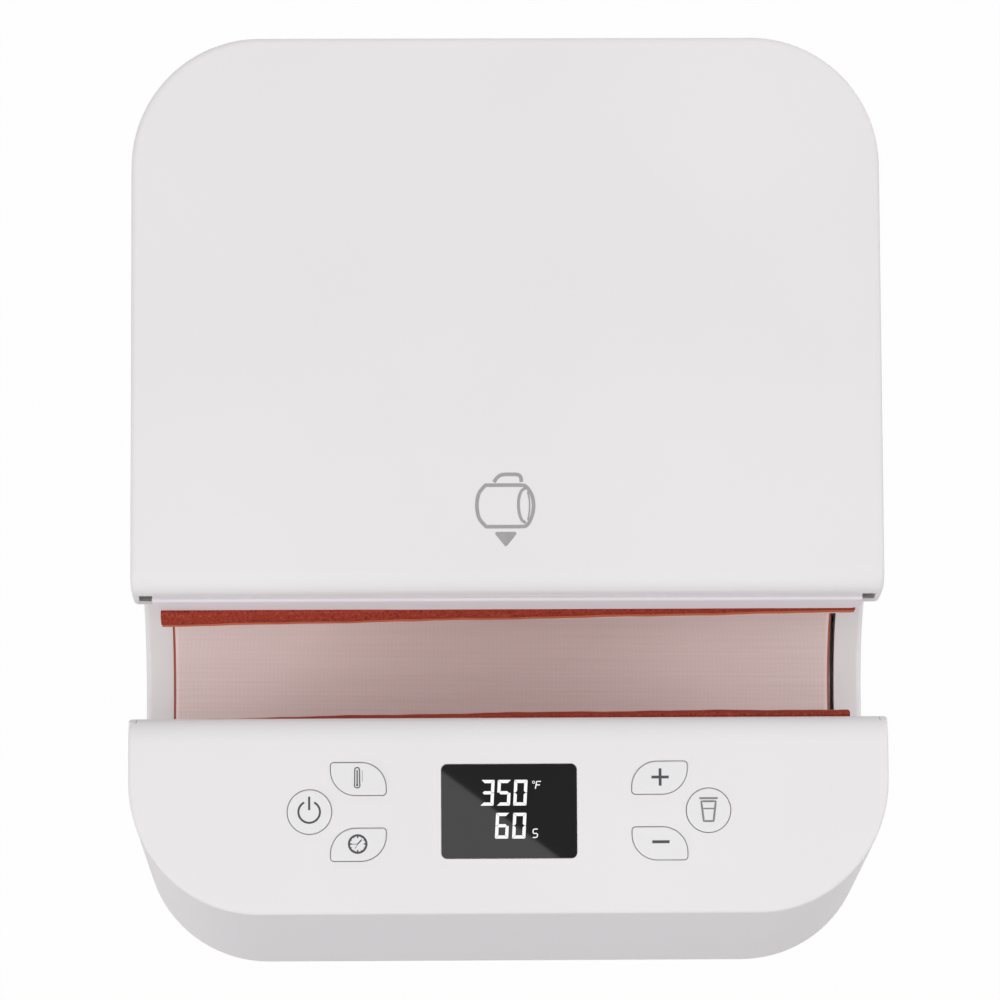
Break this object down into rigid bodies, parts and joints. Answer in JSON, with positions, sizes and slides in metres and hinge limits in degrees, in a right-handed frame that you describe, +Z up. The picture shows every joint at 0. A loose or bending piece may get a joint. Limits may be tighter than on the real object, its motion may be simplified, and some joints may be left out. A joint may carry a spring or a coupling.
{
  "type": "tumbler heat press",
  "caption": "Wedge-shaped bench press for tumblers and mugs, with a C-shaped heated cavity open at both sides, a motor-closed jaw and a keyed panel.",
  "frame": {"origin": "under the middle of the body, on the surface that the feet stand on", "axes": "+Z up; the control panel faces -Y and up; +X is the right side seen from the front"},
  "size_m": [0.273, 0.314, 0.1619],
  "materials": {
    "housing_white": "satin moulded",
    "key_white": "satin moulded",
    "window_dark": "smooth tinted",
    "silicone_foam": "speckled open sponge",
    "heater_silicone": "matt",
    "facing_cloth": "fine plain weave",
    "sheet_steel": "mill finish",
    "turned_steel": "bright turned",
    "bronze": "sintered",
    "circuit_board": "solder mask",
    "black_plastic": "matt moulded",
    "capacitor_can": "drawn",
    "foot_rubber": "matt"
  },
  "bodies": {
    "housing": {"base_tub": "housing_white", "control_panel": "housing_white", "rear_cover": "housing_white", "display_window": "window_dark", "front_foam": "silicone_foam", "front_heater": "heater_silicone", "front_cloth": "facing_cloth", "front_cradle": "sheet_steel", "cradle_saddles": "sheet_steel", "hinge_brackets": "sheet_steel", "bearing_blocks": "sheet_steel", "motor_bracket": "sheet_steel", "hinge_rod": "turned_steel", "housing_screws": "turned_steel", "foot_screws": "turned_steel", "board_screws": "turned_steel", "floor_screws": "turned_steel", "motor_screws": "turned_steel", "power_board_screws": "turned_steel", "inlet_screws": "turned_steel", "gearmotor": "turned_steel", "shaft_bushes": "bronze", "inlet_pins": "bronze", "control_board": "circuit_board", "power_board": "circuit_board", "display_module": "black_plastic", "key_switches": "black_plastic", "power_relay": "black_plastic", "power_transformer": "black_plastic", "mains_inlet": "black_plastic", "cradle_cutout": "black_plastic", "power_capacitors": "capacitor_can", "rubber_feet": "foot_rubber"},
    "jaw": {"jaw_shell": "sheet_steel", "jaw_foam": "silicone_foam", "jaw_heater": "heater_silicone", "jaw_cloth": "facing_cloth", "jaw_lip": "housing_white", "jaw_screws": "turned_steel", "jaw_cutout": "black_plastic", "jaw_arm_left": "sheet_steel", "jaw_arm_right": "sheet_steel", "jaw_bushes": "bronze"},
    "drive": {"drive_shaft": "turned_steel", "drive_pinions": "turned_steel", "shaft_coupler": "turned_steel", "motor_output_shaft": "turned_steel"},
    "power_key_cap": {"power_key": "key_white"},
    "mode_key_cap": {"mode_key": "key_white"},
    "temperature_key_cap": {"temperature_key": "key_white"},
    "timer_key_cap": {"timer_key": "key_white"},
    "plus_key_cap": {"plus_key": "key_white"},
    "minus_key_cap": {"minus_key": "key_white"}
  },
  "joints": [
    {"name": "jaw_close", "type": "hinge", "parent": "housing", "child": "jaw", "pos_m": [0, -0.01354, 0.035], "axis": [1, 0, 0], "range_deg": [0, 12]},
    {"name": "drive_turn", "type": "hinge", "parent": "housing", "child": "drive", "pos_m": [0, 0.03702, 0.07742], "axis": [1, 0, 0], "range_deg": [-76.5, 0]},
    {"name": "power_press", "type": "slide", "parent": "housing", "child": "power_key_cap", "axis": [0, 0.1736, -0.9848], "range_m": [0, 0.0008], "stiffness_N_per_m": 400},
    {"name": "mode_press", "type": "slide", "parent": "housing", "child": "mode_key_cap", "axis": [0, 0.1736, -0.9848], "range_m": [0, 0.0008], "stiffness_N_per_m": 400},
    {"name": "temperature_press", "type": "slide", "parent": "housing", "child": "temperature_key_cap", "axis": [0, 0.1736, -0.9848], "range_m": [0, 0.0008], "stiffness_N_per_m": 400},
    {"name": "timer_press", "type": "slide", "parent": "housing", "child": "timer_key_cap", "axis": [0, 0.1736, -0.9848], "range_m": [0, 0.0008], "stiffness_N_per_m": 400},
    {"name": "plus_press", "type": "slide", "parent": "housing", "child": "plus_key_cap", "axis": [0, 0.1736, -0.9848], "range_m": [0, 0.0008], "stiffness_N_per_m": 400},
    {"name": "minus_press", "type": "slide", "parent": "housing", "child": "minus_key_cap", "axis": [0, 0.1736, -0.9848], "range_m": [0, 0.0008], "stiffness_N_per_m": 400}
  ],
  "couplings": [
    {"joint": "drive_turn", "follows": "jaw_close", "ratio": -6.3333}
  ]
}
